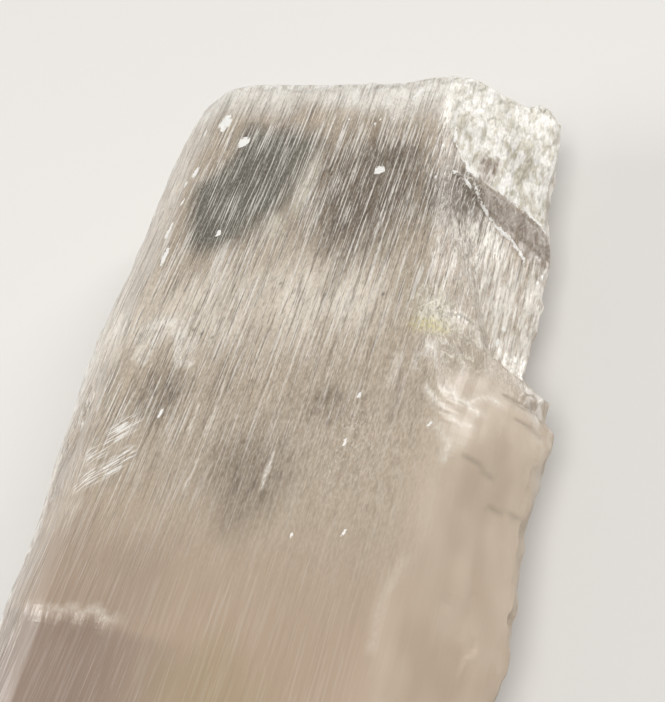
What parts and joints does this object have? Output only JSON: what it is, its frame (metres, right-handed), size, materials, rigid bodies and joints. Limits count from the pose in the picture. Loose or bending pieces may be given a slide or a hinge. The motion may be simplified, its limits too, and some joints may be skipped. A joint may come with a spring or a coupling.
{
  "type": "kunzite crystal",
  "caption": "Flat, striated blade of translucent kunzite with sloping prism faces, a ledged and fibrous right side, an etched termination and a splintered base; lies on its broad back face.",
  "frame": {"origin": "centre of the crystal's extent in plan, on the surface that its back face rests on", "axes": "+Y along the crystal's long axis toward its termination, +Z out of its front face, +X toward its ledged side"},
  "size_m": [0.0496, 0.0972, 0.0141],
  "materials": {
    "kunzite": "satin"
  },
  "bodies": {
    "root": {"crystal": "kunzite"}
  },
  "joints": []
}
